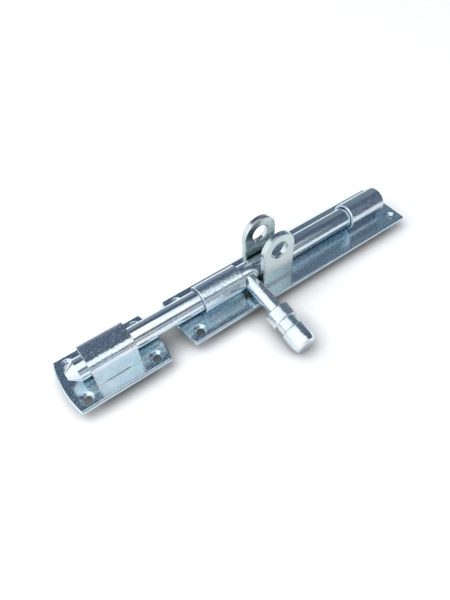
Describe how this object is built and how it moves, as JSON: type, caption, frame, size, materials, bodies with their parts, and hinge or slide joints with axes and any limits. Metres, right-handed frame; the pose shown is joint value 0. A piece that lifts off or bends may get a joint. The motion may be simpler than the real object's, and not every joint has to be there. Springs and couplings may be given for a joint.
{
  "type": "padbolt",
  "caption": "Padbolt: a round bolt turning in two tube barrels on a flat plate, with a turned handle, two padlock lugs and a separate bridged keep.",
  "frame": {"origin": "centre of the back plate's rear face, in the middle of its four screw holes", "axes": "+X along the bolt, away from the keep; +Y across the plate, away from the hanging handle; +Z out of the plate"},
  "size_m": [0.2909, 0.0918, 0.0543],
  "materials": {
    "zinc": "bright zinc plated steel with a faint blue tint"
  },
  "bodies": {
    "plate": {"back_plate": "zinc", "front_barrel": "zinc", "rear_barrel": "zinc", "front_lug": "zinc", "rear_lug": "zinc", "keep_plate": "zinc", "keep_bridge": "zinc"},
    "bolt": {"bolt_rod": "zinc", "handle": "zinc"}
  },
  "joints": [
    {"name": "bolt_turn", "type": "hinge", "parent": "plate", "child": "bolt", "pos_m": [-0.0438, 0, 0.01275], "axis": [-1, 0, 0], "range_deg": [0, 199.89]}
  ]
}
